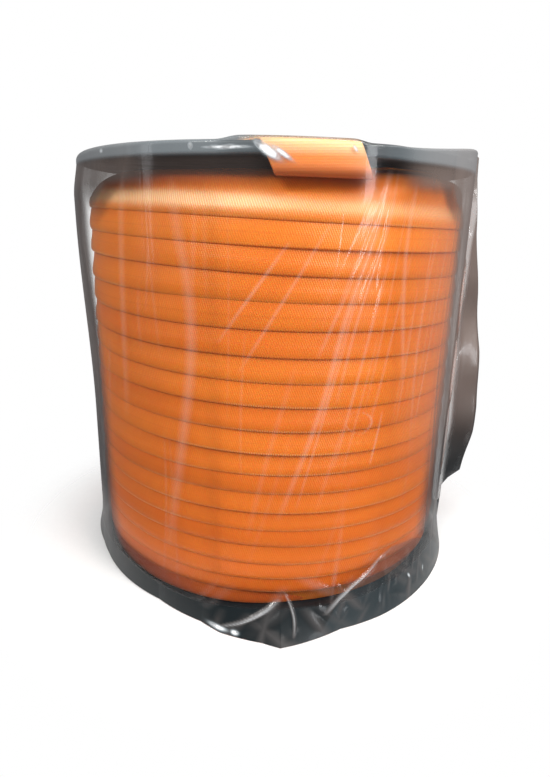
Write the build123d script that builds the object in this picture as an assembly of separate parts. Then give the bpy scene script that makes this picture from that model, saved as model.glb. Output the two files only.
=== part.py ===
from build123d import *
import math
import os

# A flanged reel wound with the flat woven sleeve that round slings are cut from, inside a clear
# film bag. Millimetres, +Z up. The origin is on the reel's axis, in the plane the reel stands on.
# Azimuths are degrees from the front, -Y, turning towards +X.

# The reel
REEL_HEIGHT = 260.0
FLANGE_RADIUS = 125.0
RIM_THICKNESS = 5.5
RIM_WIDTH = 6.0
RIM_EDGE_ROUND = 1.2
RECESS_DEPTH = 2.5
FLANGE_RIB_COUNT = 16
FLANGE_RIB_WIDTH = 2.6
FLANGE_RIB_DROP = 0.5
FLANGE_RIB_OVERLAP = 1.0
BORE_RADIUS = 11.0
HUB_RADIUS = 20.0
HUB_LENGTH = 11.0
CENTRE_PLATE_RADIUS = 47.0
BARREL_RADIUS = 55.0
BARREL_WALL = 3.0
SPIGOT_LENGTH = 6.0
SPIGOT_WALL = 3.0
SPIGOT_CLEARANCE = 0.1

# The four tie bolts that clamp the flanges on the barrel
BOLT_COUNT = 4
BOLT_CIRCLE_RADIUS = 35.0
BOLT_RADIUS = 3.0
BOLT_HOLE_CLEARANCE = 0.3
BOLT_POCKET_RADIUS = 8.0
BOLT_SEAT_DEPTH = 7.0
HEX_ACROSS_FLATS = 10.0
HEAD_HEIGHT = 4.0
NUT_HEIGHT = 5.0
THREAD_CLEARANCE = 0.05
WASHER_RADIUS = 6.0
WASHER_THICKNESS = 1.6
BOLT_END_BELOW_TOP = 0.3

# The wound sleeve
SLEEVE_THICKNESS = 1.2
WOUND_RADIUS = 121.5
WINDING_BOTTOM = 6.0
WRAP_PITCH = 12.9
WRAP_COUNT = 17
FLANGE_GAP = 0.2
LAYER_GAP = 0.05
FIRST_LAYER_THICKNESS = 2.4
OUTER_WRAP_DEPTH = 9.5
TOP_WRAP_TOP = 250.0
SHOULDER_WIDTH = 8.0
SHOULDER_HEIGHT = 13.0
SHOULDER_STEPS = 5
TAPE_THICKNESS = 0.2
TAPE_WIDTH = 50.0
TAPE_ARC = 60.0

# The free end, turned up over the upper flange's rim
FREE_END_AZIMUTH = 9.75
FREE_END_ARC = 22.0
FREE_END_INNER_RADIUS = 78.0
FREE_END_CLEARANCE = 0.15
FREE_END_ENTRY = 232.0
FREE_END_STRAIGHT_FROM = 247.0

# The film bag. The film is drawn much thicker than it is, so that it is a solid, and its wall is
# drawn as touching panels, so that its collision hulls follow the round wall.
FILM = 0.6
WALL_PANELS = 16
WALL_LOW = (128.7, 36.0)
WALL_WAIST = (129.2, 110.0)
WALL_BULGE = (131.5, 235.0)
WALL_SHOULDER = (130.8, 252.0)
WALL_TOP = (128.9, 261.7)
SKIRT_BOTTOM = 0.4
SEAL_WIDTH = 6.0
SEAL_HEIGHT = 0.8
SEAL_HALF_LENGTH = 112.0
FIN_AZIMUTH = 85.0
FIN_THICKNESS = 0.8
FIN_ROOT = 2.0

# How far the flattened fin reaches from the axis, as (radius, height), from the foot upwards
FIN_EDGE = [
    (131.0, 37.0),
    (136.0, 41.0),
    (144.0, 48.0),
    (147.5, 85.0),
    (146.8, 115.0),
    (143.5, 160.0),
    (137.0, 200.0),
    (132.0, 226.0),
]

# The pointed corner of the bag's sealed end, as (radius, height)
EAR_EDGE = [(114.0, 262.0), (129.5, 266.0), (131.6, 262.0), (131.8, 246.0)]

# Where the bag's mouth lies on the floor round the lower flange, as (azimuth, radius)
SKIRT_EDGE = [
    (90.0, 133.0),
    (60.0, 133.0),
    (30.0, 136.0),
    (14.0, 139.0),
    (3.0, 147.5),
    (-9.0, 139.0),
    (-24.0, 131.0),
    (-60.0, 130.0),
    (-90.0, 132.0),
    (-135.0, 134.0),
    (-180.0, 132.0),
    (-225.0, 134.0),
]


def tube(outer_radius, inner_radius, bottom, top):
    """A tube on the reel's axis."""
    height = top - bottom
    solid = Cylinder(outer_radius, height) - Cylinder(inner_radius, height)
    return Pos(0, 0, (bottom + top) / 2) * solid


def disc(radius, bottom, top):
    """A disc on the reel's axis."""
    return Pos(0, 0, (bottom + top) / 2) * Cylinder(radius, top - bottom)


def turned(points, arc=360.0, start=0.0):
    """The solid that a closed outline of (radius, height) points sweeps round the axis."""
    outline = Polyline(*[(radius, 0, height) for radius, height in points], close=True)
    solid = revolve(make_face(outline), Axis.Z, arc)
    return Rot(0, 0, start) * solid


def at_azimuth(solid, azimuth):
    """Turns a solid that was made along +X so that it lies at an azimuth."""
    return Rot(0, 0, azimuth - 90.0) * solid


def to_top(solid):
    """Mirrors what belongs to the lower flange onto the upper one."""
    return mirror(solid, Plane.XY.offset(REEL_HEIGHT / 2))


def at_bolts(solid):
    """The same solid at each tie bolt, evenly round the hub."""
    return Compound(PolarLocations(BOLT_CIRCLE_RADIUS, BOLT_COUNT) * solid)


def make_flange():
    """The lower flange: a rim, a ribbed web, a hub, a thick centre plate and a barrel spigot."""
    web_outer_face = RECESS_DEPTH
    spigot_radius = BARREL_RADIUS - BARREL_WALL - SPIGOT_CLEARANCE
    rim = disc(FLANGE_RADIUS, 0, RIM_THICKNESS)
    rim = fillet(rim.edges().filter_by(GeomType.CIRCLE), RIM_EDGE_ROUND)
    flange = rim - disc(FLANGE_RADIUS - RIM_WIDTH, 0, web_outer_face)
    rib_height = web_outer_face - FLANGE_RIB_DROP
    rib_length = FLANGE_RADIUS - RIM_WIDTH + FLANGE_RIB_OVERLAP - CENTRE_PLATE_RADIUS
    rib_middle = CENTRE_PLATE_RADIUS + rib_length / 2
    rib = Box(rib_length, FLANGE_RIB_WIDTH, rib_height)
    for index in range(FLANGE_RIB_COUNT):
        angle = index * 360.0 / FLANGE_RIB_COUNT
        flange += Rot(0, 0, angle) * Pos(rib_middle, 0, FLANGE_RIB_DROP + rib_height / 2) * rib
    flange += disc(CENTRE_PLATE_RADIUS, web_outer_face, HUB_LENGTH)
    flange += tube(
        spigot_radius, spigot_radius - SPIGOT_WALL, RIM_THICKNESS, RIM_THICKNESS + SPIGOT_LENGTH
    )
    flange += disc(HUB_RADIUS, 0, HUB_LENGTH)
    flange -= disc(BORE_RADIUS, 0, HUB_LENGTH)
    flange -= at_bolts(disc(BOLT_POCKET_RADIUS, 0, BOLT_SEAT_DEPTH))
    flange -= at_bolts(disc(BOLT_RADIUS + BOLT_HOLE_CLEARANCE, 0, HUB_LENGTH))
    return flange


def make_barrel():
    """The tube that the sleeve is wound on."""
    return tube(
        BARREL_RADIUS, BARREL_RADIUS - BARREL_WALL, RIM_THICKNESS, REEL_HEIGHT - RIM_THICKNESS
    )


def hexagon(height, hole_radius=0.0):
    """A hexagonal head or nut, standing on z = 0."""
    solid = extrude(RegularPolygon(HEX_ACROSS_FLATS / 2, 6, major_radius=False), height)
    if hole_radius:
        solid -= Pos(0, 0, height / 2) * Cylinder(hole_radius, height)
    return solid


def make_bolts():
    """Four long bolts, their heads in the lower flange's pockets."""
    head_top = BOLT_SEAT_DEPTH - WASHER_THICKNESS
    shank_top = REEL_HEIGHT - BOLT_END_BELOW_TOP
    head = Pos(0, 0, head_top - HEAD_HEIGHT) * hexagon(HEAD_HEIGHT)
    shank = disc(BOLT_RADIUS, head_top, shank_top)
    return at_bolts(head + shank)


def make_washers():
    """Four washers between the bolt heads and the lower flange."""
    hole_radius = BOLT_RADIUS + BOLT_HOLE_CLEARANCE
    washer = tube(WASHER_RADIUS, hole_radius, BOLT_SEAT_DEPTH - WASHER_THICKNESS, BOLT_SEAT_DEPTH)
    return at_bolts(washer)


def make_nuts():
    """Four nuts on the bolts' upper ends, in the upper flange's pockets."""
    bottom = REEL_HEIGHT - BOLT_SEAT_DEPTH + WASHER_THICKNESS
    nut = hexagon(NUT_HEIGHT, BOLT_RADIUS + THREAD_CLEARANCE)
    return at_bolts(Pos(0, 0, bottom) * nut)


def make_inner_end_tape():
    """The tape that holds the sleeve's first turn on the barrel."""
    middle = REEL_HEIGHT - RIM_THICKNESS - TAPE_WIDTH
    outline = [
        (BARREL_RADIUS, middle - TAPE_WIDTH / 2),
        (BARREL_RADIUS + TAPE_THICKNESS, middle - TAPE_WIDTH / 2),
        (BARREL_RADIUS + TAPE_THICKNESS, middle + TAPE_WIDTH / 2),
        (BARREL_RADIUS, middle + TAPE_WIDTH / 2),
    ]
    return turned(outline, TAPE_ARC)


def winding_ends():
    """The lowest and highest places that the winding reaches between the flanges."""
    return RIM_THICKNESS + FLANGE_GAP, REEL_HEIGHT - RIM_THICKNESS - FLANGE_GAP


def make_first_layer():
    """The sleeve's first layer, over the tape."""
    inner = BARREL_RADIUS + TAPE_THICKNESS + LAYER_GAP
    return tube(inner + FIRST_LAYER_THICKNESS, inner, *winding_ends())


def make_inner_layers():
    """All the layers between the first one and the wraps that can be seen."""
    first_layer_radius = BARREL_RADIUS + TAPE_THICKNESS + LAYER_GAP + FIRST_LAYER_THICKNESS
    inner = first_layer_radius + LAYER_GAP
    return tube(WOUND_RADIUS - OUTER_WRAP_DEPTH - LAYER_GAP, inner, *winding_ends())


def top_wrap_bottom():
    """The lower edge of the highest wrap."""
    return WINDING_BOTTOM + WRAP_COUNT * WRAP_PITCH


def make_outer_wraps():
    """The wraps that can be seen, each one's lower edge lying over the wrap below."""
    inner = WOUND_RADIUS - OUTER_WRAP_DEPTH
    outline = [(inner, WINDING_BOTTOM)]
    for index in range(WRAP_COUNT):
        lower_edge = WINDING_BOTTOM + index * WRAP_PITCH
        outline.append((WOUND_RADIUS, lower_edge))
        outline.append((WOUND_RADIUS - SLEEVE_THICKNESS, lower_edge + WRAP_PITCH))
    outline.append((inner, top_wrap_bottom()))
    return turned(outline)


def make_top_wrap():
    """The highest wrap, whose upper half curls in over the winding's shoulder."""
    inner = WOUND_RADIUS - OUTER_WRAP_DEPTH
    outline = [(inner, top_wrap_bottom() + LAYER_GAP), (WOUND_RADIUS, top_wrap_bottom() + LAYER_GAP)]
    for step in range(SHOULDER_STEPS + 1):
        turn = math.radians(90.0 * step / SHOULDER_STEPS)
        radius = WOUND_RADIUS - SHOULDER_WIDTH * (1 - math.cos(turn))
        height = TOP_WRAP_TOP - SHOULDER_HEIGHT * (1 - math.sin(turn))
        outline.append((radius, height))
    outline.append((inner, TOP_WRAP_TOP))
    return turned(outline)


def make_free_end():
    """The sleeve's free end: up from the top wrap, over the rim and along the flange's top."""
    inner = FLANGE_RADIUS + FREE_END_CLEARANCE
    outer = inner + SLEEVE_THICKNESS
    under = REEL_HEIGHT + FREE_END_CLEARANCE
    over = under + SLEEVE_THICKNESS
    foot = WOUND_RADIUS + FREE_END_CLEARANCE
    outline = [
        (foot, FREE_END_ENTRY),
        (foot + SLEEVE_THICKNESS, FREE_END_ENTRY),
        (outer, FREE_END_STRAIGHT_FROM),
        (outer, over - SLEEVE_THICKNESS),
        (outer - SLEEVE_THICKNESS, over),
        (FREE_END_INNER_RADIUS, over),
        (FREE_END_INNER_RADIUS, under),
        (inner, under),
        (inner, FREE_END_STRAIGHT_FROM),
    ]
    return turned(outline, FREE_END_ARC, FREE_END_AZIMUTH - 90.0 - FREE_END_ARC / 2)


def wall_profile():
    """The bag wall's outside, from its foot to its top."""
    return [WALL_LOW, WALL_WAIST, WALL_BULGE, WALL_SHOULDER, WALL_TOP]


def bag_envelope():
    """Everything inside the bag's wall and top, for trimming what stands outside it."""
    top = WALL_TOP[1] + FILM
    outline = [(0, 0), (WALL_LOW[0], 0)] + wall_profile() + [(WALL_TOP[0], top), (0, top)]
    return turned(outline)


def make_film_wall():
    """The film round the winding and both rims, panel by panel."""
    inside = [(radius - FILM, height) for radius, height in reversed(wall_profile())]
    arc = 360.0 / WALL_PANELS
    panels = [turned(wall_profile() + inside, arc, index * arc) for index in range(WALL_PANELS)]
    return Compound(panels)


def make_film_top():
    """The film over the upper flange."""
    return disc(WALL_TOP[0], WALL_TOP[1], WALL_TOP[1] + FILM)


def make_end_seal():
    """The welded seam across the bag's closed end, lying folded on the film top."""
    bottom = WALL_TOP[1] + FILM
    middle = Pos(0, 0, bottom + SEAL_HEIGHT / 2)
    return at_azimuth(middle * Box(2 * SEAL_HALF_LENGTH, SEAL_WIDTH, SEAL_HEIGHT), FIN_AZIMUTH)


def radial_plate(points):
    """A thin upright plate at the fin's azimuth, outlined by (radius, height) points, cut off at the bag."""
    outline = Polyline(*[(radius, 0, height) for radius, height in points], close=True)
    plate = extrude(make_face(outline), FIN_THICKNESS / 2, both=True)
    return at_azimuth(plate, FIN_AZIMUTH) - bag_envelope()


def make_side_fin():
    """The bag's spare width, pressed flat into a fin down one side."""
    root = WALL_LOW[0] - FIN_ROOT
    return radial_plate(FIN_EDGE + [(root, FIN_EDGE[-1][1]), (root, FIN_EDGE[0][1])])


def make_corner_ear():
    """The bag's pointed corner, standing where the end seal meets the fin."""
    return radial_plate(EAR_EDGE)


def skirt_outline(inset):
    """The skirt's edge on the floor, drawn in by an inset."""
    points = []
    for azimuth, radius in SKIRT_EDGE:
        angle = math.radians(azimuth - 90.0)
        points.append(((radius - inset) * math.cos(angle), (radius - inset) * math.sin(angle)))
    return make_face(Spline(*points, periodic=True))


def make_skirt():
    """The bag's mouth, flaring from the wall's foot to the floor."""
    shells = []
    for inset in (0.0, FILM):
        floor = Pos(0, 0, SKIRT_BOTTOM) * skirt_outline(inset)
        foot = Pos(0, 0, WALL_LOW[1]) * Circle(WALL_LOW[0] - inset)
        shells.append(loft([floor, foot]))
    return shells[0] - shells[1]


def write(name, part):
    """Writes one node's solids to its own file."""
    solids = part.solids()
    export_step(Compound(label=name, children=list(solids)), f"parts/{name}.step")
    print(name, len(solids), round(sum(solid.volume for solid in solids)))


os.makedirs("parts", exist_ok=True)
lower_flange = make_flange()
lower_washers = make_washers()
write("lower_flange", lower_flange)
write("upper_flange", to_top(lower_flange))
write("core_barrel", make_barrel())
write("tie_bolts", make_bolts())
write("tie_bolt_washers", lower_washers)
write("tie_nut_washers", to_top(lower_washers))
write("tie_nuts", make_nuts())
write("inner_end_tape", make_inner_end_tape())
write("sleeve_first_layer", make_first_layer())
write("sleeve_inner_layers", make_inner_layers())
write("sleeve_outer_wraps", make_outer_wraps())
write("sleeve_top_wrap", make_top_wrap())
write("sleeve_free_end", make_free_end())
write("film_wall", make_film_wall())
write("film_top", make_film_top())
write("film_end_seal", make_end_seal())
write("film_side_fin", make_side_fin())
write("film_corner_ear", make_corner_ear())
write("film_skirt", make_skirt())
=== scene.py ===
import math

import bmesh
import bpy
import numpy as np
from mathutils import Matrix, Vector


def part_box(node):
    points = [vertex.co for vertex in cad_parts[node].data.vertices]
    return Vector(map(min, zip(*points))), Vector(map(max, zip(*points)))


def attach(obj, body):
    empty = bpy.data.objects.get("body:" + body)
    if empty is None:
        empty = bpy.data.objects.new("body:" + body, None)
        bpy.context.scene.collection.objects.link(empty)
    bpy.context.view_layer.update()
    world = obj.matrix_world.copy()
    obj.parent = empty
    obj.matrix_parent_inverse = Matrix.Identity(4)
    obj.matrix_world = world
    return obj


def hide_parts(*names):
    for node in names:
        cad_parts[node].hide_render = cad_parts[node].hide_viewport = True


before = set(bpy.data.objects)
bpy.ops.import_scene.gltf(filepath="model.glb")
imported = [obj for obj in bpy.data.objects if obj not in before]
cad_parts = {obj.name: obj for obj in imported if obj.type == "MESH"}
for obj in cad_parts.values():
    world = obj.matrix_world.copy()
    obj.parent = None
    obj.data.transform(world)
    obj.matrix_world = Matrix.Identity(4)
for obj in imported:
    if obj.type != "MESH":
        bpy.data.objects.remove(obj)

# A black flanged reel wound with flat orange sleeve, its free end turned up over the upper rim, in a
# bag of clear film. Metres, +Z up, the reel's axis on Z. Azimuths are degrees from the front, -Y,
# turning towards +X.

MM = 0.001
TURN = 2 * math.pi

# Sizes taken from the frame
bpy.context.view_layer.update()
REEL_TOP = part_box("upper_flange")[1].z
RIM_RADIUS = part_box("upper_flange")[1].x
WOUND_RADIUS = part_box("sleeve_outer_wraps")[1].x
INNER_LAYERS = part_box("sleeve_inner_layers")
BARREL_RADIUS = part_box("core_barrel")[1].x

# The sleeve
SLEEVE_WIDTH = 45 * MM
SLEEVE_THICKNESS = 1.2 * MM
FOLD = SLEEVE_THICKNESS / 2

# The height of the seam under each turn: even steps with a slow swell, and a slight tilt. Turns are
# counted down from the top seam, and a whole number of turns faces the front.
SEAM_START = 219.9 * MM
SEAM_STEP = 12.14 * MM
SEAM_SWELL = 6.74 * MM
SWELL_TURNS = 23.5
SWELL_PHASE = 2.03
SEAM_TILT = 1.3 * MM
FIRST_TURN = -0.9
LAST_TURN = 18.1
WINDING_FOOT = 6.2 * MM
COLUMNS_PER_TURN = 288

# The winding's shoulder under the upper flange, softer on the left than on the right
SHOULDER_TOP = 253.6 * MM
SHOULDER_ROUND = 24.5 * MM
SHOULDER_ROUND_RIGHT = 13 * MM

# The free end: its slant, the way it faces, its length, how far before the rim it starts, and how far
# aside
TAIL_LEAN = math.radians(25)
TAIL_AZIMUTH = math.radians(10)
TAIL_LENGTH = 104 * MM
TAIL_START = 33 * MM
TAIL_SIDESTEP = 14 * MM

# The film: its slack round the rim, where it bulges over the free end, its fin, and its upright part
FILM_CLEARANCE = 0.4 * MM
CORNER_ROUND = 1.4 * MM
TAIL_SECTOR = 9.5
TAIL_TOP_SIDE = 17 * MM
TAIL_TOP_LEAN = 0.62
FIN_AZIMUTH = 85.0
WALL_TOP = REEL_TOP - 6 * MM
WALL_FOOT = 34 * MM
FLOOR_GAP = 0.5 * MM


def smooth(value, low, high):
    """0 below low, 1 above high, and a smooth step between."""
    share = np.clip((value - low) / (high - low), 0, 1)
    return share * share * (3 - 2 * share)


def bell(value, middle, width):
    """A smooth bump of height 1."""
    return np.exp(-(((value - middle) / width) ** 2))


def ripple(along, across, seed, waves=10, reach=1.0):
    """Smooth seeded noise of about unit height over two coordinates, in radians per unit."""
    rng = np.random.default_rng(seed)
    total = 0
    for _ in range(waves):
        fast, slow, phase = rng.uniform(0.3, 1.0), rng.uniform(-1, 1), rng.uniform(0, TURN)
        total = total + np.sin(reach * fast * along + slow * across + phase)
    return total / math.sqrt(waves / 2)


def grid_piece(name, points, uv, material, around=False, closed_rows=False, capped=False):
    """A mesh from rows of points. around joins the last column to the first, closed_rows the rows,
    and capped closes the two ends of a closed section."""
    rows, columns = points.shape[:2]
    index = np.arange(rows * columns).reshape(rows, columns)
    if around:
        index = np.concatenate([index, index[:, :1]], axis=1)
    if closed_rows:
        index = np.concatenate([index, index[:1]], axis=0)
    quads = np.stack([index[:-1, :-1], index[:-1, 1:], index[1:, 1:], index[1:, :-1]], axis=-1)
    corner_uv = np.stack([uv[:-1, :-1], uv[:-1, 1:], uv[1:, 1:], uv[1:, :-1]], axis=2)
    mesh = bpy.data.meshes.new(name)
    faces = quads.reshape(-1, 4).tolist()
    loops = corner_uv.reshape(-1, 2)
    if capped:
        faces += [index[:rows, 0].tolist(), index[:rows, -1][::-1].tolist()]
        loops = np.concatenate([loops, uv[:rows, 0], uv[:rows, -1][::-1]])
    mesh.from_pydata(points.reshape(-1, 3).tolist(), [], faces)
    layer = mesh.uv_layers.new(name="UVMap")
    layer.data.foreach_set("uv", loops.reshape(-1).astype(np.float32))
    mesh.polygons.foreach_set("use_smooth", [True] * len(mesh.polygons))
    mesh.materials.append(material)
    mesh.update()
    piece = bpy.data.objects.new(name, mesh)
    bpy.context.scene.collection.objects.link(piece)
    return piece


def paint(piece, name, channels):
    """Stores up to three values at each of a piece's first points, as a colour that materials read."""
    colours = np.zeros((len(piece.data.vertices), 4), np.float32)
    colours[:, 3] = 1
    for index, values in enumerate(channels):
        colours[: values.size, index] = values.reshape(-1)
    layer = piece.data.color_attributes.new(name, "FLOAT_COLOR", "POINT")
    layer.data.foreach_set("color", colours.reshape(-1))


def smooth_path(points, rounds=4):
    """A dense smooth line through the middle of a coarse one, by cutting its corners."""
    line = np.array(points, float)
    for _ in range(rounds):
        near = 0.75 * line[:-1] + 0.25 * line[1:]
        far = 0.25 * line[:-1] + 0.75 * line[1:]
        middle = np.stack([near, far], axis=1).reshape(-1, line.shape[1])
        line = np.concatenate([line[:1], middle, line[-1:]])
    return line


# ---------------------------------------------------------------- camera, light and floor

CAMERA_PLACE = Vector((0, -402 * MM, 225.9 * MM))
CAMERA_PITCH = math.radians(16.74)
CAMERA_YAW = math.radians(-0.27)
CAMERA_ROLL = math.radians(1.42)
CAMERA_LENS = 26.15


def make_camera():
    """The camera, in front of the reel and looking down at it."""
    data = bpy.data.cameras.new("camera")
    data.lens = CAMERA_LENS
    data.sensor_width = 36
    data.clip_start = 0.01
    camera = bpy.data.objects.new("camera", data)
    turn = Matrix.Rotation(CAMERA_YAW, 4, "Z")
    tip = Matrix.Rotation(math.pi / 2 - CAMERA_PITCH, 4, "X")
    roll = Matrix.Rotation(CAMERA_ROLL, 4, "Z")
    camera.matrix_world = Matrix.Translation(CAMERA_PLACE) @ turn @ tip @ roll
    bpy.context.scene.collection.objects.link(camera)
    bpy.context.scene.camera = camera


def make_softbox(name, place, target, width, height, watts, colour=(1, 1, 1), mirrored=True):
    """An area light that faces a target. mirrored is whether glossy surfaces reflect it."""
    data = bpy.data.lights.new(name, "AREA")
    data.shape = "RECTANGLE"
    data.size = width
    data.size_y = height
    data.energy = watts
    data.color = colour
    light = bpy.data.objects.new(name, data)
    light.location = place
    light.rotation_euler = (Vector(target) - Vector(place)).to_track_quat("-Z", "Y").to_euler()
    light.visible_glossy = mirrored
    bpy.context.scene.collection.objects.link(light)


def make_lights():
    """Soft light from above, in front and behind, and a narrow light each side for long highlights."""
    middle = (0, 0, REEL_TOP / 2)
    make_softbox("key", (-0.55, -0.90, 0.92), middle, 0.45, 0.25, 7.8, (1, 0.98, 0.95))
    make_softbox("fill", (0.70, -0.75, 0.80), middle, 0.50, 0.40, 7.4, (1, 0.98, 0.95))
    make_softbox("overhead", (0.20, -0.35, 1.10), middle, 0.8, 0.5, 7.4, (1, 0.98, 0.95))
    make_softbox("low_front", (0, -1.25, 0.12), (0, 0, REEL_TOP), 1.2, 0.35, 1.9, mirrored=False)
    make_softbox("back", (0.2, 1.2, 0.9), middle, 1.2, 0.6, 4.0, mirrored=False)
    make_softbox("side_right", (0.75, -0.75, 0.35), middle, 0.10, 0.6, 2.0, (0.95, 0.97, 1))
    make_softbox("side_left", (-0.85, -0.35, 0.40), middle, 0.10, 0.6, 0.5, (0.95, 0.97, 1))


def make_world():
    """A world that is white to look at and dim to light by."""
    world = bpy.data.worlds.new("studio")
    bpy.context.scene.world = world
    world.use_nodes = True
    nodes, links = world.node_tree.nodes, world.node_tree.links
    nodes.clear()
    out = nodes.new("ShaderNodeOutputWorld")
    seen = nodes.new("ShaderNodeBackground")
    seen.inputs["Color"].default_value = (1, 1, 1, 1)
    lit = nodes.new("ShaderNodeBackground")
    lit.inputs["Color"].default_value = (0.24, 0.24, 0.25, 1)
    path = nodes.new("ShaderNodeLightPath")
    mix = nodes.new("ShaderNodeMixShader")
    links.new(path.outputs["Is Camera Ray"], mix.inputs["Fac"])
    links.new(lit.outputs[0], mix.inputs[1])
    links.new(seen.outputs[0], mix.inputs[2])
    links.new(mix.outputs[0], out.inputs["Surface"])
    bpy.context.scene.view_settings.view_transform = "Standard"


def make_floor():
    """A pale floor that fades into the white of the studio away from the object."""
    bpy.ops.mesh.primitive_plane_add(size=6, location=(0, 0, 0))
    floor = bpy.context.object
    floor.name = "floor"
    made = Shader("pale_floor")
    x, y, _ = made.axes(made.place())
    out = made.math("SQRT", made.add(made.times(x, x), made.times(y, y)))
    speck = made.noise(made.place(), 300.0, 2.0)
    shade = made.principled(made.mix(speck, (0.93, 0.93, 0.93), (0.97, 0.97, 0.97)), 0.85)
    clear = made.nodes.new("ShaderNodeBsdfTransparent")
    made.finish(made.blend_shaders(made.ramp(out, 0.12, 0.21), shade, clear.outputs[0]))
    floor.data.materials.append(made.material)


# ---------------------------------------------------------------- materials


class Shader:
    """A short way to write node trees."""

    def __init__(self, name):
        self.material = bpy.data.materials.new(name)
        self.material.use_nodes = True
        self.nodes = self.material.node_tree.nodes
        self.links = self.material.node_tree.links
        self.nodes.clear()

    def join(self, value, socket):
        """Links a socket, or sets a plain value."""
        if isinstance(value, bpy.types.NodeSocket):
            self.links.new(value, socket)
        elif hasattr(value, "__len__") and len(value) == 3 and socket.type == "RGBA":
            socket.default_value = (*value, 1)
        else:
            socket.default_value = value

    def math(self, kind, first, second=0.0, third=0.0, clamp=False):
        node = self.nodes.new("ShaderNodeMath")
        node.operation = kind
        node.use_clamp = clamp
        for value, socket in zip((first, second, third), node.inputs):
            self.join(value, socket)
        return node.outputs[0]

    def add(self, first, second):
        return self.math("ADD", first, second)

    def times(self, first, second):
        return self.math("MULTIPLY", first, second)

    def wave(self, phase):
        """A sine between 0 and 1."""
        return self.math("MULTIPLY_ADD", self.math("SINE", phase), 0.5, 0.5)

    def mix(self, share, first, second, blend="MIX"):
        node = self.nodes.new("ShaderNodeMix")
        node.data_type = "RGBA"
        node.blend_type = blend
        self.join(share, node.inputs["Factor"])
        colours = [socket for socket in node.inputs if socket.type == "RGBA"]
        self.join(first, colours[0])
        self.join(second, colours[1])
        return next(socket for socket in node.outputs if socket.type == "RGBA")

    def place(self):
        """The point in the piece's own metres."""
        return self.nodes.new("ShaderNodeTexCoord").outputs["Object"]

    def axes(self, vector):
        """A vector's X, Y and Z."""
        split = self.nodes.new("ShaderNodeSeparateXYZ")
        self.links.new(vector, split.inputs[0])
        return split.outputs["X"], split.outputs["Y"], split.outputs["Z"]

    def painted(self, name):
        """The three values that paint() stored under a name."""
        marks = self.nodes.new("ShaderNodeAttribute")
        marks.attribute_name = name
        split = self.nodes.new("ShaderNodeSeparateColor")
        self.links.new(marks.outputs["Color"], split.inputs[0])
        return split.outputs["Red"], split.outputs["Green"], split.outputs["Blue"]

    def flat_place(self):
        """The metres along and across a sleeve."""
        along, across, _ = self.axes(self.nodes.new("ShaderNodeTexCoord").outputs["UV"])
        return along, across

    def noise(self, vector, scale, detail=3.0, rough=0.5, stretch=None):
        """Noise from 0 to 1. stretch scales the vector's three axes first."""
        if stretch:
            mapping = self.nodes.new("ShaderNodeMapping")
            self.links.new(vector, mapping.inputs["Vector"])
            mapping.inputs["Scale"].default_value = stretch
            vector = mapping.outputs[0]
        node = self.nodes.new("ShaderNodeTexNoise")
        self.links.new(vector, node.inputs["Vector"])
        node.inputs["Scale"].default_value = scale
        node.inputs["Detail"].default_value = detail
        node.inputs["Roughness"].default_value = rough
        return node.outputs["Fac"]

    def ramp(self, value, low, high, to_low=0.0, to_high=1.0):
        """A smooth step from to_low at low to to_high at high."""
        node = self.nodes.new("ShaderNodeMapRange")
        node.interpolation_type = "SMOOTHSTEP"
        self.join(value, node.inputs["Value"])
        ends = {"From Min": low, "From Max": high, "To Min": to_low, "To Max": to_high}
        for name, number in ends.items():
            node.inputs[name].default_value = number
        return node.outputs[0]

    def bump(self, height, distance, strength=1.0, normal=None):
        node = self.nodes.new("ShaderNodeBump")
        node.inputs["Strength"].default_value = strength
        node.inputs["Distance"].default_value = distance
        self.join(height, node.inputs["Height"])
        if normal is not None:
            self.links.new(normal, node.inputs["Normal"])
        return node.outputs[0]

    def principled(self, colour, rough, normal=None, **settings):
        """A Principled shader. Other inputs are given by name, with _ for each space."""
        node = self.nodes.new("ShaderNodeBsdfPrincipled")
        self.join(colour, node.inputs["Base Color"])
        self.join(rough, node.inputs["Roughness"])
        if normal is not None:
            self.links.new(normal, node.inputs["Normal"])
        for name, value in settings.items():
            self.join(value, node.inputs[name.replace("_", " ")])
        return node.outputs[0]

    def blend_shaders(self, share, first, second):
        node = self.nodes.new("ShaderNodeMixShader")
        self.join(share, node.inputs["Fac"])
        self.links.new(first, node.inputs[1])
        self.links.new(second, node.inputs[2])
        return node.outputs[0]

    def finish(self, surface):
        out = self.nodes.new("ShaderNodeOutputMaterial")
        self.links.new(surface, out.inputs["Surface"])


# The weave, and the sleeve's oranges from its own colour to the darkest: the brightest is a painted
# highlight, the two darkest are painted shade, and the deep one serves both random patches and
# painted shade.
RIB_SPACING = 1.3 * MM
WARP_SPACING = 0.9 * MM
RIB_SLANT = 0.42
ORANGE = (0.80, 0.182, 0.009)
ORANGE_DEEP = (0.63, 0.112, 0.004)
ORANGE_LIGHT = (0.95, 0.36, 0.05)
ORANGE_PAINTED_HIGHLIGHT = (1.0, 0.66, 0.36)
ORANGE_SHADE = (0.44, 0.050, 0.003)
ORANGE_PAINTED_SHADOW = (0.24, 0.030, 0.006)


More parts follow.
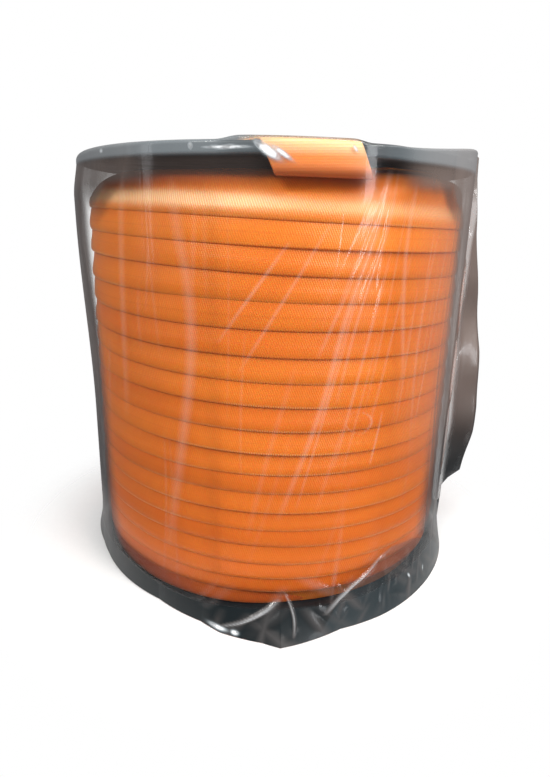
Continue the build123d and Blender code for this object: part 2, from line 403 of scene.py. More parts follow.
def sleeve_material(name, relief=1.0, pale=0.0):
    """Woven orange polyester: slanted weft ribs, fine warp, lighter loops along the folded edge, and
    painted shade just under the edge of the turn above. relief is how strong the ribs are, and pale is
    how much paler the colour is. The piece's "wrap" paint says how covered each point is, its painted
    highlight, painted shade and per-turn variation, and its painted shade under the flange and at the
    foot."""
    made = Shader(name)
    along, across = made.flat_place()
    place = made.place()
    cover, tone_and_painted_light, painted_shade = made.painted("wrap")
    wander = made.times(made.noise(place, 60.0, 2.0), 0.9)
    slanted = made.add(along, made.times(across, RIB_SLANT))
    ribs = made.wave(made.add(made.times(slanted, TURN / RIB_SPACING), wander))
    warps = made.wave(made.times(across, TURN / WARP_SPACING))
    yarn = made.noise(place, 900.0, 2.0)
    weave = made.add(made.times(ribs, 0.62), made.times(warps, 0.22))
    height = made.add(weave, made.times(yarn, 0.25))
    normal = made.bump(height, 0.18 * MM, 0.55 * relief)
    patches = made.ramp(made.noise(place, 22.0, 3.0), 0.3, 0.72)
    colour = made.mix(made.times(patches, 0.5), ORANGE, ORANGE_DEEP)
    colour = made.mix(made.times(ribs, 0.36 * relief), colour, ORANGE_LIGHT)
    # Painted shade: darker just under the edge of the turn above, and along a thin pressed line halfway
    # up.
    under = made.times(made.ramp(cover, 0.60, 1.0), 0.20)
    pressed = made.times(made.math("COMPARE", cover, 0.5, 0.035), 0.12)
    colour = made.mix(made.math("MAXIMUM", under, pressed), colour, ORANGE_SHADE)
    # Darker where the paint is above 0: painted shade, with a per-turn variation on the winding.
    colour = made.mix(made.ramp(tone_and_painted_light, 0.0, 1.0, 0.0, 0.75), colour, ORANGE_DEEP)
    ribbed = made.math("MULTIPLY_ADD", ribs, 0.5 * relief, 0.9 - 0.45 * relief)
    # Painted highlight: towards a bright peach where the paint is below 0, broken up by the ribs.
    painted_highlight = made.times(made.ramp(tone_and_painted_light, -1.0, 0.0, 1.0, 0.0), ribbed)
    colour = made.mix(painted_highlight, colour, ORANGE_PAINTED_HIGHLIGHT)
    edge = made.ramp(across, 0.5 * MM, 2.0 * MM, 1.0, 0.0)
    loops = made.math("POWER", made.wave(made.times(along, TURN / RIB_SPACING)), 2.0)
    worn = made.ramp(made.noise(place, 14.0, 1.0), 0.45, 0.60)
    ticks = made.times(made.times(edge, loops), made.add(made.times(worn, 0.75), 0.15))
    colour = made.mix(ticks, colour, (1.0, 0.48, 0.20))
    colour = made.mix(pale, colour, (1.0, 0.46, 0.20))
    # Painted shade: darker under the upper flange and at the winding's foot.
    colour = made.mix(painted_shade, colour, ORANGE_PAINTED_SHADOW)
    rough = made.ramp(ribs, 0, 1, 0.40, 0.31)
    surface = made.principled(
        colour, rough, normal, Sheen_Weight=0.05, Sheen_Roughness=0.4, Sheen_Tint=(1.0, 0.5, 0.25),
        Specular_IOR_Level=0.48, Specular_Tint=(1.0, 0.84, 0.62),
        Subsurface_Weight=0.25, Subsurface_Radius=(1.0, 0.30, 0.06), Subsurface_Scale=2.4 * MM,
    )
    made.finish(surface)
    return made.material


def plastic_material():
    """Black moulded plastic with a fine grain, faint flow marks and dusty patches."""
    made = Shader("reel_plastic_look")
    place = made.place()
    grain = made.noise(place, 1400.0, 2.0)
    flow = made.noise(place, 30.0, 4.0)
    normal = made.bump(made.add(grain, made.times(flow, 0.6)), 0.05 * MM, 0.5)
    dust = made.ramp(made.noise(place, 9.0, 5.0, 0.65), 0.5, 0.8)
    colour = made.mix(made.times(dust, 0.35), (0.008, 0.009, 0.011), (0.030, 0.032, 0.036))
    rough = made.ramp(flow, 0.3, 0.7, 0.36, 0.54)
    made.finish(made.principled(colour, rough, normal, Specular_IOR_Level=0.32))
    return made.material


def steel_material():
    """Zinc-plated steel with turned marks and dull patches."""
    made = Shader("plated_steel_look")
    place = made.place()
    marks = made.noise(place, 260.0, 2.0, stretch=(1, 1, 8))
    dull = made.noise(place, 120.0, 3.0)
    normal = made.bump(marks, 0.03 * MM, 0.5)
    colour = made.mix(made.times(dull, 0.5), (0.66, 0.66, 0.63), (0.48, 0.48, 0.45))
    made.finish(made.principled(colour, made.ramp(dull, 0.3, 0.7, 0.28, 0.48), normal, Metallic=1.0))
    return made.material


def tape_material():
    """Crinkled paper tape."""
    made = Shader("paper_tape_look")
    place = made.place()
    crinkle = made.noise(place, 500.0, 3.0, stretch=(1, 1, 0.15))
    colour = made.mix(crinkle, (0.70, 0.60, 0.38), (0.82, 0.74, 0.52))
    made.finish(made.principled(colour, 0.75, made.bump(crinkle, 0.08 * MM, 0.8)))
    return made.material


def film_material():
    """Clear film: nearly all seen through, greyer where it is doubled or seen along, pale in creases,
    partly as painted highlight. The piece's "film" paint says how smoky it is, with painted shade in the
    gap under the flange, how pale it is from creases and painted reflection, and how frosted it is, with
    painted reflection along the rim and painted glints."""
    made = Shader("clear_film_look")
    place = made.place()
    smoke_and_shade, whitening_and_reflection, frost_and_glint = made.painted("film")
    crumple = made.noise(place, 60.0, 3.0, 0.55, stretch=(1.0, 1.0, 0.16))
    normal = made.bump(crumple, 0.8 * MM, 0.30)
    weight = made.nodes.new("ShaderNodeLayerWeight")
    weight.inputs["Blend"].default_value = 0.5
    facing = weight.outputs["Facing"]
    grazing = made.ramp(facing, 0.60, 0.76)
    shine = made.math("MULTIPLY_ADD", made.math("POWER", facing, 5.0), 0.45, 0.036)
    shine = made.times(shine, made.ramp(grazing, 0.2, 1.0, 1.0, 0.5))
    shine = made.times(shine, made.ramp(smoke_and_shade, 0.75, 1.25, 1.0, 0.3))
    cloud = made.noise(place, 18.0, 3.0)
    tint = made.mix(cloud, (0.024, 0.019, 0.017), (0.155, 0.120, 0.102))
    _, _, level = made.axes(place)
    low = made.ramp(level, 20 * MM, 165 * MM, 1.0, 0.0)
    tint = made.mix(low, tint, (0.006, 0.010, 0.012))
    body = made.principled(tint, 0.35, Specular_IOR_Level=0.2)
    # Pale shaders: one for the creases' whitening and the painted reflection, one for frost, the painted
    # reflection along the rim and painted glints.
    haze = made.principled((0.88, 0.66, 0.58), 0.6)
    pale = made.principled(made.mix(frost_and_glint, (0.14, 0.22, 0.26), (0.97, 0.98, 1.0)), 0.4)
    clear = made.nodes.new("ShaderNodeBsdfTransparent")
    clear.inputs["Color"].default_value = (1, 1, 1, 1)
    gloss = made.nodes.new("ShaderNodeBsdfGlossy")
    gloss.inputs["Roughness"].default_value = 0.14
    made.links.new(normal, gloss.inputs["Normal"])
    grey = made.math("MAXIMUM", smoke_and_shade, made.times(grazing, 0.95))
    streak = made.ramp(made.noise(place, 70.0, 3.0, 0.6, stretch=(1.0, 1.0, 0.22)), 0.3, 0.7, 0.78, 1.04)
    see = made.blend_shaders(made.math("MULTIPLY", grey, streak, clamp=True), clear.outputs[0], body)
    see = made.blend_shaders(made.times(whitening_and_reflection, 0.22), see, haze)
    patchy = made.ramp(made.noise(place, 260.0, 3.0), 0.34, 0.60, 0.55, 1.15)
    broken = made.mix(made.ramp(frost_and_glint, 0.4, 0.6), (1, 1, 1), patchy)
    see = made.blend_shaders(made.ramp(made.times(frost_and_glint, broken), 0.0, 0.8), see, pale)
    made.finish(made.blend_shaders(shine, see, gloss.outputs[0]))
    return made.material


# ---------------------------------------------------------------- the wound sleeve


def seam_height(turn):
    """The height of the strip's lower edge after so many turns. Before the first turn it climbs in
    under the flange, and at the foot the last turns crowd together."""
    even = SEAM_START - SEAM_STEP * turn
    swell = SEAM_SWELL * np.sin(TURN * turn / SWELL_TURNS + SWELL_PHASE)
    tilt = -SEAM_TILT * np.sin(TURN * turn)
    climb = 30 * MM * smooth(-turn, 0.42, 0.76)
    uneven = 0.35 * MM * ripple(turn * TURN, 0 * turn, 3, reach=2.2)
    seam = even + swell + tilt + climb + uneven
    return WINDING_FOOT + np.logaddexp(0, (seam - WINDING_FOOT) / MM) * MM


def winding_surface(distance, depth, azimuth):
    """Where a point lies that is so far up the winding's outside, and so deep under it.
    Returns its radius and height. The outside is upright and then curls in at the shoulder."""
    right = smooth(azimuth, math.radians(14), math.radians(40))
    right = right * smooth(-azimuth, math.radians(-150), math.radians(-110))
    bend = SHOULDER_ROUND + (SHOULDER_ROUND_RIGHT - SHOULDER_ROUND) * right
    start = SHOULDER_TOP - bend
    angle = np.clip((distance - start) / bend, 0, math.pi / 2)
    past = np.maximum(distance - start - bend * math.pi / 2, 0)
    below = np.minimum(distance, start)
    radius = WOUND_RADIUS - bend + (bend - depth) * np.cos(angle) - past
    height = below + (bend - depth) * np.sin(angle)
    return radius, height


def strip_section():
    """The points round the flat sleeve's section: distance from the lower edge, and depth. They are
    closer together in the lower part, which is the part that shows."""
    lower = [0.6, 1.0, 1.6, 2.6, 4.0, 5.2, 6.2, 7.2, 8.6, 10.2, 11.6, 12.8, 14.2]
    face = np.array([*lower, *range(16, 45, 2), 44.4]) * MM
    face = face[face <= SLEEVE_WIDTH - FOLD]
    section = [(x, 0.0) for x in face]
    for step in range(1, 4):
        angle = math.pi * step / 4
        section.append((SLEEVE_WIDTH - FOLD + FOLD * math.sin(angle), FOLD - FOLD * math.cos(angle)))
    section += [(x, SLEEVE_THICKNESS) for x in face[::-3]]
    for step in range(1, 6):
        angle = math.pi * step / 6
        section.append((FOLD - FOLD * math.sin(angle), FOLD + FOLD * math.cos(angle)))
    return np.array(section)


def make_wound_sleeve(material):
    """All the turns that show, as one strip wound down from under the upper flange."""
    section = strip_section()
    count = int((LAST_TURN - FIRST_TURN) * COLUMNS_PER_TURN)
    turn = np.linspace(FIRST_TURN, LAST_TURN, count)[None, :]
    across = section[:, :1]
    depth = section[:, 1:]
    azimuth = (turn * TURN + math.pi) % TURN - math.pi
    step = seam_height(turn) - seam_height(turn + 1)
    share = across / np.maximum(step, 6 * MM)
    outer = 1 - depth / SLEEVE_THICKNESS
    sink = SLEEVE_THICKNESS * share
    crown = 0.42 * MM * np.sin(math.pi * np.clip(share, 0, 1) ** 0.8)
    telegraph = 0.26 * MM * smooth(share, 0.44, 0.54) * (0.6 + 0.4 * ripple(turn * TURN, 0, 8))
    cockle = 0.12 * MM * ripple(turn * TURN * 5, across * 420, 5)
    lift = 0.25 * MM * ripple(turn * TURN * 1.5, 0 * turn, 9) * np.exp(-across / (3 * MM))
    under = 7 * MM * smooth(turn, LAST_TURN - 0.15, LAST_TURN)
    press = 0.55 * MM * np.clip(1 - across / (3.2 * MM), 0, 1) ** 2
    deep = depth + sink + telegraph - (crown + cockle + lift - press) * outer + under
    radius, height = winding_surface(seam_height(turn) + across, deep, azimuth)
    radius = radius - 2.4 * MM * smooth(-height, -34 * MM, -8 * MM)
    points = np.stack([radius * np.sin(azimuth), -radius * np.cos(azimuth), height], axis=-1)
    along = np.broadcast_to(turn * TURN * WOUND_RADIUS, radius.shape)
    uv = np.stack([along, np.broadcast_to(across, radius.shape)], axis=-1)
    uv = np.concatenate([uv, uv[:1]], axis=0)
    piece = grid_piece("wound_sleeve", points, uv, material, closed_rows=True, capped=True)
    paint_winding(piece, turn, azimuth, height, across, np.where(depth < FOLD, share, 0))
    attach(piece, "reel")
    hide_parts("sleeve_outer_wraps", "sleeve_top_wrap")


def paint_winding(piece, turn, azimuth, height, across, share):
    """Stores how far each point is under the turn above (red), from -1 to 1 its painted highlight below
    0 and its painted shade with a per-turn variation above 0 (green), and its painted shade towards the
    winding's two ends (blue)."""
    degrees = np.degrees(azimuth)
    cover = np.clip(share, 0, 1) * smooth(turn, -0.1, 0.1)

    # Darker towards the lower turns as painted shade, with a per-turn variation.
    tone_and_painted_light = 0.40 * smooth(turn, 0.7, 3) + 0.40 * smooth(turn, 6, 16) + 0.14 * np.sin(2.1 * turn - 2.4)
    # A painted highlight along the lower part of the top turn, weaker towards the right.
    painted_highlight = bell(across, 8.0 * MM, 5.0 * MM) * smooth(-np.abs(turn), -0.40, -0.22)
    tone_and_painted_light = np.maximum(tone_and_painted_light, 0) * smooth(turn, 0.3, 0.7) - painted_highlight * (1 - 0.5 * smooth(degrees, -14, 16))

    right = smooth(degrees, 16, 34) * smooth(-degrees, -150, -110)
    left = smooth(-degrees, 12, 42) * smooth(degrees, -150, -110)
    # Painted shade under the upper flange, less on the right and beside the free end, and at the foot.
    shoulder = 0.70 * bell(height, 244.5 * MM, 6.5 * MM) * (1 - 0.85 * right)
    shoulder = shoulder * (1 - 0.6 * bell(degrees, 8, 17))
    foot = smooth(-height, -26 * MM, -9 * MM) + 0.7 * smooth(-height, -34 * MM, -14 * MM) * left
    painted_shade = np.maximum(shoulder, np.minimum(0.6 * foot, 0.85))
    paint(piece, "wrap", (cover, tone_and_painted_light, painted_shade))


def make_inner_layers(material):
    """The layers underneath, a roll whose two ends show the edges of its turns. Its inner layers reach
    up close under the flange, and its outer ones stay under the winding's shoulder."""
    low, high = INNER_LAYERS[0].z, INNER_LAYERS[1].z
    core = BARREL_RADIUS + 0.3 * MM
    rim = WOUND_RADIUS - 6 * MM
    tall_radius = 88 * MM
    layers = 24
    thick = (rim - core) / layers
    lower, upper = [], []
    rng = np.random.default_rng(12)
    for index in range(layers):
        inside = core + index * thick
        curl = max(inside + thick - (WOUND_RADIUS - SHOULDER_ROUND), 0)
        droop = SHOULDER_ROUND - math.sqrt(SHOULDER_ROUND**2 - curl**2)
        top = high - 7 * MM - droop - rng.uniform(0, 1.0) * MM
        if inside + thick < tall_radius:
            top = SHOULDER_TOP - 2.3 * MM - rng.uniform(0, 0.5) * MM
        for share, drop in ((0.08, 0.8), (0.3, 0.1), (0.7, 0.1), (0.92, 0.8)):
            upper.append((inside + share * thick, top - drop * MM))
            lower.append((inside + share * thick, low + 0.3 * MM + drop * MM))
    outline = np.array(upper + lower[::-1])
    columns = 180
    azimuth = np.linspace(0, TURN, columns + 1)[None, :]
    radius, height = outline[:, :1], outline[:, 1:]
    x = radius * np.sin(azimuth)
    y = -radius * np.cos(azimuth)
    points = np.stack([x, y, np.broadcast_to(height, x.shape)], axis=-1)[:, :-1]
    walked = np.concatenate([[0], np.cumsum(np.linalg.norm(np.diff(outline, axis=0), axis=1))])
    uv = np.stack(np.broadcast_arrays(azimuth * radius, walked[:, None]), axis=-1)
    uv = np.concatenate([uv, uv[:1]], axis=0)
    piece = grid_piece("sleeve_layers", points, uv, material, around=True, closed_rows=True)
    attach(piece, "reel")
    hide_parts("sleeve_first_layer", "sleeve_inner_layers")


def tail_route():
    """The free end's route up from the winding, round the rim and in over the flange: radius, height."""
    rim = RIM_RADIUS + FOLD
    top = REEL_TOP + FOLD + 0.15 * MM
    coarse = [
        (WOUND_RADIUS - 40 * MM, REEL_TOP - 6.6 * MM),
        (WOUND_RADIUS - 16 * MM, REEL_TOP - 8.2 * MM),
        (WOUND_RADIUS - 7 * MM, REEL_TOP - 11.5 * MM),
        (rim - 3.0 * MM, REEL_TOP - 15.0 * MM),
        (rim + 1.4 * MM, REEL_TOP - 13.2 * MM),
        (rim + 1.0 * MM, REEL_TOP - 7.0 * MM),
        (rim + 1.2 * MM, REEL_TOP + 0.2 * MM),
        (rim - 2.0 * MM, top + 0.1 * MM),
        (rim - 12 * MM, top),
        (rim - 95 * MM, top),
    ]
    return smooth_path(coarse)


def make_tail(material):
    """The free end of the sleeve, slanting up over the rim, with its cut end on top of the flange."""
    route = tail_route()
    walked = np.concatenate([[0], np.cumsum(np.linalg.norm(np.diff(route, axis=0), axis=1))])
    rim_place = walked[np.argmax(route[:, 0])]
    tangent = np.gradient(route, axis=0)
    tangent /= np.linalg.norm(tangent, axis=1, keepdims=True)
    half = SLEEVE_WIDTH / 2 - 0.8 * MM
    face = np.linspace(-half + FOLD, half - FOLD, 25)
    section = [(x, 1.0) for x in face]
    for step in range(1, 5):
        angle = math.pi * step / 5
        section.append((half - FOLD + FOLD * math.sin(angle), math.cos(angle)))
    section += [(x, -1.0) for x in face[::-1]]
    for step in range(1, 5):
        angle = math.pi * step / 5
        section.append((-half + FOLD - FOLD * math.sin(angle), -math.cos(angle)))
    section = np.array(section)
    across, side = section[:, :1], section[:, 1:]
    rows = 150
    along = np.linspace(0, TAIL_LENGTH, rows)[None, :]
    path = rim_place - TAIL_START + along * math.cos(TAIL_LEAN) + across * math.sin(TAIL_LEAN)
    sideways = TAIL_SIDESTEP - along * math.sin(TAIL_LEAN) + across * math.cos(TAIL_LEAN)
    radius = np.interp(path, walked, route[:, 0])
    height = np.interp(path, walked, route[:, 1])
    slope_r = np.interp(path, walked, tangent[:, 0])
    slope_z = np.interp(path, walked, tangent[:, 1])
    pad = 0.06 * MM * ripple(along * 130, across * 150, 21) * (1 - np.abs(across / half) ** 3)
    stand = side * FOLD + np.where(side > 0, pad + 0.08 * MM * (1 - (across / half) ** 2), 0)
    radius = radius + slope_z * stand
    height = height - slope_r * stand
    bow = np.clip(sideways / RIM_RADIUS, -1, 1)
    inward = radius - RIM_RADIUS * (1 - np.cos(bow))
    over = RIM_RADIUS * np.sin(bow)
    x = inward * math.sin(TAIL_AZIMUTH) + over * math.cos(TAIL_AZIMUTH)
    y = -inward * math.cos(TAIL_AZIMUTH) + over * math.sin(TAIL_AZIMUTH)
    points = np.stack([x, y, height], axis=-1)
    uv = np.stack(np.broadcast_arrays(along, across + half), axis=-1)
    uv = np.concatenate([uv, uv[:1]], axis=0)
    piece = grid_piece("sleeve_free_end_strap", points, uv, material, closed_rows=True, capped=True)
    # Painted light on the free end: a painted highlight on its upper part, painted shade lower down.
    tone_and_painted_light = 1.0 - 2.0 * smooth(height, 246 * MM, 259.5 * MM)
    painted_shade = 0.5 * smooth(-height, -252.5 * MM, -244.5 * MM)
    paint(piece, "wrap", (0 * tone_and_painted_light, tone_and_painted_light, painted_shade))
    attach(piece, "reel")
    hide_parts("sleeve_free_end")


# ---------------------------------------------------------------- the film bag

# Creases in the film wall, each as (height, azimuth) points from the top down, how proud it stands
# and its half width in mm, and how white it is, partly the film's whitening and partly a painted
# highlight. They run down from the rim, leaning left on the right.
CREASES = [
    ([(258, -36), (236, -40), (115, -42)], 0.4, 3.5, 0.5),
    ([(250, -24), (221, -23), (194, -20), (161, -19.5), (130, -21), (38, -28)], 0.4, 4.5, 0.6),
    ([(250, 25), (224, 23), (181, 16), (134, 12), (68, 2)], 0.4, 2.2, 0.8),
    ([(250, 27), (224, 25.5), (181, 19), (134, 15)], 0.25, 1.4, 0.7),
    ([(216, 3), (165, -13)], 0.2, 1.1, 0.9),
    ([(226, 12), (150, -8)], 0.2, 1.1, 0.7),
    ([(250, 34), (207, 31), (133, 35)], 0.35, 2.4, 0.7),
    ([(244, 46), (170, 38), (90, 40)], 0.3, 2.4, 0.7),
    ([(236, 56), (150, 50), (60, 54)], 0.3, 3.0, 0.7),
    ([(128, 28), (97, 25)], 0.3, 1.1, 1.0),
    ([(155, 15), (122, 11)], 0.2, 1.1, 0.8),
    ([(130, 20), (127, 24), (121, 25), (116, 22)], 0.4, 1.1, 1.0),
    ([(130, 20), (126, 17.5), (120, 18), (116, 22)], 0.2, 0.8, 0.7),
    ([(205, 72), (178, 66), (150, 74)], 1.6, 3.0, 0.8),
    ([(160, 76), (128, 67), (104, 74)], 1.8, 3.4, 0.8),
    ([(112, 70), (84, 75), (62, 68)], 1.5, 3.0, 0.6),
    ([(22, 3), (14, -1), (7, -7), (2, -13)], 1.6, 1.5, 0.9),
    ([(25, 4), (19, 5.5), (11, 6.5), (3, 6)], 1.4, 1.1, 0.7),
    ([(37, 36), (29, 28), (22, 21), (10, 14)], 1.6, 1.7, 0.9),
]

# How many seeded creases there are all round, on the right and at the foot
RANDOM_CREASES = 60
RIGHT_CREASES = 34
FOOT_CREASES = 44

# A crease that stands less proud than this, in mm, is a fine one, and is flattened at the sides
FINE_CREASE = 1

# Painted glints: where the film is painted white as small highlights, as (azimuth, height, half widths
# in degrees and mm, strength, lean in degrees per mm)
PAINTED_GLINTS = [
    (-11, 256.8, 5.5, 0.8, 1.0, 0),
    (-19, 257.5, 0.7, 2.0, 0.7, 0),
    (-47, 257.5, 1.3, 1.6, 0.6, 0),
    (-2.2, 255.5, 1.5, 4.0, 1.1, -0.55),
    (0.8, 254.5, 0.9, 3.2, 0.9, -0.62),
    (16, 257.5, 0.5, 1.6, 0.7, -0.3),
    (-12, 2.5, 2.6, 1.2, 1.0, 0),
    (-7.5, 2.5, 1.0, 1.2, 1.0, 0),
    (43, 13, 0.5, 1.6, 0.7, -0.2),
    (51, 10, 0.4, 1.8, 0.6, 0.2),
]

# The veil of doubled film over the lower flange's right side, its upper edge as (azimuth, height)
VEIL = [(12, 2), (20, 20), (28, 29), (36, 38), (46, 35), (57, 26), (66, 10)]

# How far the fin stands out beyond the rim, as (height, reach) in mm
FIN_REACH = [(20, 1), (33, 5), (40, 10), (47, 18.5), (60, 20), (80, 22), (100, 22.5), (120, 21.5)]
FIN_REACH += [(140, 20.5), (160, 18), (180, 15), (200, 11.5), (220, 8), (240, 5.5), (262, 4)]

# Where the bag's mouth lies on the floor, as (azimuth, radius) with the radius in mm
MOUTH = [(-180, 131), (-135, 133), (-100, 131.5), (-84, 131), (-70, 126.5), (-62, 125.6), (-32, 126)]
MOUTH += [(-17, 132), (-11, 138), (-1, 143), (3, 147), (7, 144.5), (18, 137), (30, 136), (48, 133)]
MOUTH += [(57, 132), (80, 130), (110, 132), (145, 133), (180, 131)]


def film_columns():
    """The azimuths of the film's columns, closer together at the fin and the mouth's pointed tip."""
    front = np.arange(-75, 75, 0.25)
    even = np.concatenate([np.arange(-180, -75, 0.6), front, np.arange(75, 180, 0.6)])
    fin = FIN_AZIMUTH + np.arange(-3.5, 3.6, 0.22)
    even = even[np.abs(even - FIN_AZIMUTH) > 3.8]
    return np.sort(np.concatenate([even, fin]))


def all_creases():
    """The creases above and seeded ones, each with its whiteness."""
    rng = np.random.default_rng(41)
    creases = list(CREASES)
    for _ in range(RANDOM_CREASES):
        top, drop, middle = rng.uniform(70, 255), rng.uniform(25, 110), rng.uniform(-180, 180)
        lean = rng.uniform(-4, 3) if middle < 0 else rng.uniform(2, 14)
        line = [(top, middle), (top - drop / 2, middle - lean * 0.5 + rng.uniform(-1, 1))]
        line.append((max(top - drop, 8), middle - lean))
        creases.append((line, rng.uniform(0.08, 0.20), rng.uniform(0.9, 2.2), rng.uniform(0.1, 0.35)))
    for _ in range(RIGHT_CREASES):
        top, middle = rng.uniform(170, 253), rng.uniform(16, 66)
        drop, lean = rng.uniform(30, 120), rng.uniform(0.04, 0.13) * (80 - middle) / 40
        line = [(top, middle), (top - drop, middle - lean * drop)]
        creases.append((line, rng.uniform(0.08, 0.20), rng.uniform(0.8, 1.5), rng.uniform(0.3, 0.9)))
    for _ in range(FOOT_CREASES):
        top, middle = rng.uniform(6, 34), rng.uniform(-14, 64)
        drop, lean = rng.uniform(8, 26), rng.uniform(-14, 14)
        line = [(top, middle), (max(top - drop, -4), middle - lean)]
        creases.append((line, rng.uniform(0.3, 0.9), rng.uniform(1.8, 4.5), rng.uniform(0, 0.25)))
    return creases


def film_creases(azimuth, height):
    """How far creases stand the film out, in metres, and how whitened each place is by them, partly as
    painted highlight.
    """
    proud = np.zeros(np.broadcast_shapes(azimuth.shape, height.shape))
    white = proud.copy()
    for line, stand, half_width, whiteness in all_creases():
        heights, places = smooth_path(line, 2).T
        heights = heights * MM
        middle = np.interp(height, heights[::-1], places[::-1])
        share = np.clip((height - heights[-1]) / (heights[0] - heights[-1]), 0, 1)
        fade = np.sqrt(np.clip(np.sin(math.pi * share), 0, 1))
        slant = np.radians(places[0] - places[-1]) * RIM_RADIUS / (heights[0] - heights[-1])
        off = (azimuth - middle + 180) % 360 - 180
        off = np.abs(np.radians(off)) * RIM_RADIUS / math.sqrt(1 + slant**2)
        near = np.clip(1 - off / (half_width * MM), 0, 1)
        pressed = 0.85 * smooth(np.abs(azimuth), 34, 50) if stand < FINE_CREASE else 0
        proud = np.maximum(proud, stand * MM * near * near * (3 - 2 * near) * fade * (1 - pressed))
        white = np.maximum(white, whiteness * near * fade)
    return proud, white


def film_wall_radius(azimuth, height):
    """The film's radius over the upright part of the bag, and how whitened it is."""
    fold, white = film_creases(azimuth, height)
    tail = smooth(-np.abs(azimuth - TAIL_SECTOR), -23, -15)
    least = RIM_RADIUS + FILM_CLEARANCE + 3.1 * MM * tail
    left = 5.6 * MM * bell(azimuth, -92, 34) * smooth(height, 100 * MM, 225 * MM)
    left = left * (1 - 0.8 * smooth(height, 236 * MM, 262 * MM))
    back = 2.5 * MM * bell(np.abs(azimuth), 150, 45) * smooth(height, 0, 60 * MM)
    drape = 0.5 * MM * ripple(np.radians(azimuth) * 9, height * 9, 17)
    drape = drape * smooth(height, 10 * MM, 60 * MM) * smooth(-height, -250 * MM, -225 * MM)
    radius = least + np.maximum(drape, 0) + left + back + fold
    reach = np.interp(height, *(np.array(FIN_REACH).T * MM))
    off = np.abs(azimuth - FIN_AZIMUTH)
    body = reach * np.clip(1 - off / 7.0, 0, 1) ** 3.2 * 0.55
    blade = reach * np.clip(1 - off / 1.9, 0, 1) * 0.45
    wave = 1 + 0.06 * np.sin(height / (11 * MM)) * smooth(off, 0.2, 3)
    return radius + (body + blade) * wave, white


def film_top(azimuth):
    """The radius and height of the film on the upper flange, over the free end and up at the ear."""
    turn = np.radians(azimuth)
    rows = np.linspace(2 * MM, 112 * MM, 34)[:, None]
    inward = RIM_RADIUS - rows * np.cos(turn)
    aside = rows * np.sin(turn) - (TAIL_TOP_SIDE - TAIL_TOP_LEAN * inward)
    over_tail = smooth(-np.abs(aside), -34 * MM, -24 * MM) * smooth(-inward, -74 * MM, -62 * MM)
    ear = smooth(azimuth, 28, 76) * smooth(-azimuth, -104, -90)
    height = REEL_TOP + 0.30 * MM + 1.45 * MM * over_tail
    height = height + 0.12 * MM * (1 + np.clip(ripple(turn * 5, rows * 70, 31), -1, 1))
    height = height + 7.0 * MM * ear * smooth(rows, 70 * MM, 112 * MM)
    return np.broadcast_to(rows, height.shape), height


def film_corner(azimuth, start_radius, start_height, end_radius):
    """The radius and height of the film from the top's edge, round the rim, to the wall's first row."""
    bend = CORNER_ROUND + 3.2 * MM * bell(azimuth, -92, 45)
    steps = np.linspace(0, 1, 8)[:-1, None]
    curve = steps * math.pi / 2
    flat = start_radius + (end_radius - bend - start_radius) * steps[1:]
    radius = [flat, end_radius - bend + bend * np.sin(curve), end_radius + 0 * steps]
    height = [start_height + 0 * flat, start_height - bend + bend * np.cos(curve)]
    height.append(start_height - bend + (WALL_TOP - start_height + bend) * steps)
    return np.concatenate(radius), np.concatenate(height)


def film_skirt(azimuth, rows, start_radius):
    """The film's radius from the wall's foot out to its mouth, and how whitened it is."""
    mouth_line = np.array(MOUTH, float)
    mouth = np.interp(azimuth, mouth_line[:, 0], mouth_line[:, 1]) * MM
    share = (WALL_FOOT - rows) / (WALL_FOOT - FLOOR_GAP)
    flare = start_radius + (mouth - start_radius) * share**1.5
    pleats, white = film_creases(azimuth, rows)
    least = RIM_RADIUS + FILM_CLEARANCE
    return np.maximum(flare, least) + pleats * smooth(rows, 0.5 * MM, 9 * MM), white


def make_film_bag(material):
    """The whole bag as one sheet: over the top, round the rim, down the wall and out at the mouth."""
    azimuth = film_columns()[None, :]
    wall_rows = np.linspace(WALL_TOP, WALL_FOOT, 190)[:, None]
    skirt_rows = np.linspace(WALL_FOOT, FLOOR_GAP, 40)[1:, None]
    top_radius, top_height = film_top(azimuth)
    wall, wall_white = film_wall_radius(azimuth, wall_rows)
    corner_radius, corner_height = film_corner(azimuth, top_radius[-1:], top_height[-1:], wall[:1])
    skirt, skirt_white = film_skirt(azimuth, skirt_rows, wall[-1:])
    radius = np.concatenate([top_radius, corner_radius, wall, skirt])
    lower = [np.broadcast_to(wall_rows, wall.shape), np.broadcast_to(skirt_rows, skirt.shape)]
    height = np.concatenate([top_height, corner_height, *lower])

    sway = 1.6 * np.sin(height / (21 * MM)) + 0.6 * np.sin(height / (8.3 * MM) + 1)
    sway = sway * bell(azimuth, FIN_AZIMUTH, 5) * smooth(radius, RIM_RADIUS, RIM_RADIUS + 8 * MM)
    turn = np.radians(azimuth) + np.radians(sway)
    points = np.stack([radius * np.sin(turn), -radius * np.cos(turn), height], axis=-1)
    walked = np.linspace(0, 1, len(points))[:, None]
    closing = np.concatenate([azimuth, azimuth[:, :1] + 360], axis=1)
    uv = np.stack(np.broadcast_arrays(closing / 360, walked), axis=-1)
    piece = grid_piece("film_bag_sheet", points, uv, material, around=True)
    close_centre(piece, azimuth.size)
    paint_film(piece, points, azimuth, np.concatenate([wall_white, skirt_white]))
    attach(piece, "film_bag")
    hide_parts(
        "film_wall", "film_top", "film_end_seal", "film_side_fin", "film_corner_ear", "film_skirt"
    )


def close_centre(piece, columns):
    """Closes the small hole where the rows of the film's top meet."""
    mesh = bmesh.new()
    mesh.from_mesh(piece.data)
    mesh.verts.ensure_lookup_table()
    ring = [mesh.verts[index] for index in range(columns)]
    middle = mesh.verts.new((0, 0, sum(vert.co.z for vert in ring) / columns))
    for index in range(columns):
        face = mesh.faces.new((ring[index], middle, ring[(index + 1) % columns]))
        face.smooth = True
    mesh.normal_update()
    mesh.to_mesh(piece.data)
    mesh.free()


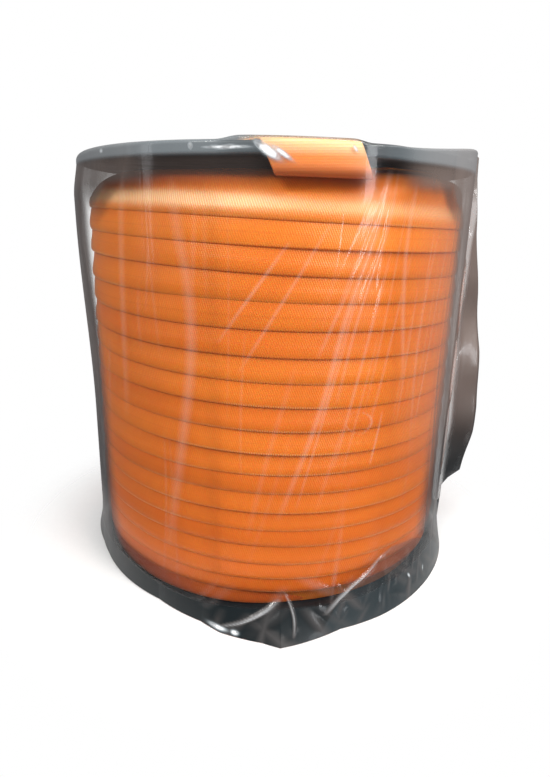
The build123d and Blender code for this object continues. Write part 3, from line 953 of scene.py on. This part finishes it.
def paint_film(piece, points, azimuth, creased):
    """Stores how smoky each point of the film is, with painted shade in the gap under the flange (red),
    how pale from creases and painted reflection (green), and how frosted, with painted reflection along
    the rim and painted glints (blue). creased is how whitened the rows of the wall and skirt are by
    creases, partly as painted highlight."""
    height = points[..., 2] / MM
    reach = np.hypot(points[..., 0], points[..., 1]) - RIM_RADIUS
    upright = reach > -2 * MM
    side = np.abs(azimuth)
    veil_line = np.array(VEIL, float)
    veil_top = np.interp(azimuth, veil_line[:, 0], veil_line[:, 1], 0, 0)
    veil = smooth(veil_top - height, -0.5, 1.5)

    # Smoke in the fin, at the foot in front and in the veil, and painted shade in the gap over the
    # winding's shoulder under the upper flange
    from_fin = np.abs(azimuth - FIN_AZIMUTH)
    fin = smooth(reach, 5 * MM, 8 * MM) * smooth(height, 20, 34) * smooth(-from_fin, -16, -8)
    beside = 0.35 * smooth(-from_fin, -18, -7)
    # Painted shade: dark film over the gap under the upper flange, out beyond the winding's corners.
    gap_shade = 0.75 * smooth(height, 239, 246) * smooth(side, 27, 40) * smooth(-azimuth, -58, -44)
    border = np.where(azimuth < 0, 44, 47) + 11 * smooth(-height, -248, -220)
    edge = 226 + 10 * smooth(side, 56, 80)
    beyond = 0.85 * smooth(side - border, -1.5, 2.5) * smooth(height - edge, -6, 12)
    beyond = beyond * (1 - 0.4 * smooth(side, 70, 110))
    gap_shade = np.maximum(gap_shade, beyond)
    line = 8 + 0.8 * (reach / MM + 3.5) + 9 * smooth(side, 15, 60)
    foot = smooth(line - height, 0, 4) * smooth(-side, -105, -80)
    smoke_and_shade = np.maximum(np.maximum(0.95 * fin, np.maximum(beside, gap_shade)), 1.35 * foot)
    smoke_and_shade = np.maximum(smoke_and_shade, 0.35 * veil) * upright

    # Pale in the creases, partly the film's own whitening and partly painted highlight, and a painted
    # reflection over the wall's right side and just under the flange
    whitening_and_reflection = np.zeros(height.shape)
    whitening_and_reflection[-len(creased) :] = creased
    under = smooth(height, 236, 246) * smooth(-height, -255, -251)
    # A painted reflection over the wall's right side and just under the flange, fainter on the left.
    haze = 0.5 * smooth(azimuth, 26, 56) * smooth(height, 60, 120)
    haze = np.maximum(haze, 0.15 * under * smooth(-azimuth, -4, 10))
    haze = np.maximum(haze, 0.5 * under * smooth(azimuth, 22, 46)) * smooth(-side, -100, -80)

    # Frost in the veil, pale in the foot's creases, partly whitening and partly painted highlight, a
    # painted reflection along the rim, and painted glints
    frost_and_glint = np.maximum(veil * 0.12, 0.55 * np.clip(whitening_and_reflection, 0, 1) * smooth(-height, -48, -30))
    # A painted reflection: a grey band along the rim, fainter over the free end.
    rim_reflection = smooth(height, 252.0, 255.5) * smooth(-side, -88, -70)
    frost_and_glint = np.maximum(frost_and_glint, 0.34 * rim_reflection * (1 - 0.9 * bell(azimuth, 10, 14)))
    # Painted glints: small white highlights.
    for place, level, wide, tall, strength, lean in PAINTED_GLINTS:
        spot = bell(azimuth, place + lean * (height - level), wide) * bell(height, level, tall)
        frost_and_glint = np.maximum(frost_and_glint, strength * spot)

    whitening_and_reflection = np.clip(np.maximum(whitening_and_reflection, haze * upright), 0, 1)
    paint(piece, "film", (smoke_and_shade, whitening_and_reflection, frost_and_glint * upright))


# ---------------------------------------------------------------- carried-over CAD nodes


def dress(names, material):
    """Gives CAD nodes a better material."""
    for name in names:
        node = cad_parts[name]
        node.data.materials.clear()
        node.data.materials.append(material)


make_camera()
make_lights()
make_world()
make_floor()
sleeve = sleeve_material("woven_sleeve_look")
dress(["lower_flange", "upper_flange", "core_barrel"], plastic_material())
dress(["tie_bolts", "tie_bolt_washers", "tie_nut_washers", "tie_nuts"], steel_material())
dress(["inner_end_tape"], tape_material())
make_wound_sleeve(sleeve)
make_inner_layers(sleeve)
make_tail(sleeve_material("free_end_look", relief=0.45, pale=0.25))
make_film_bag(film_material())

bpy.context.view_layer.update()
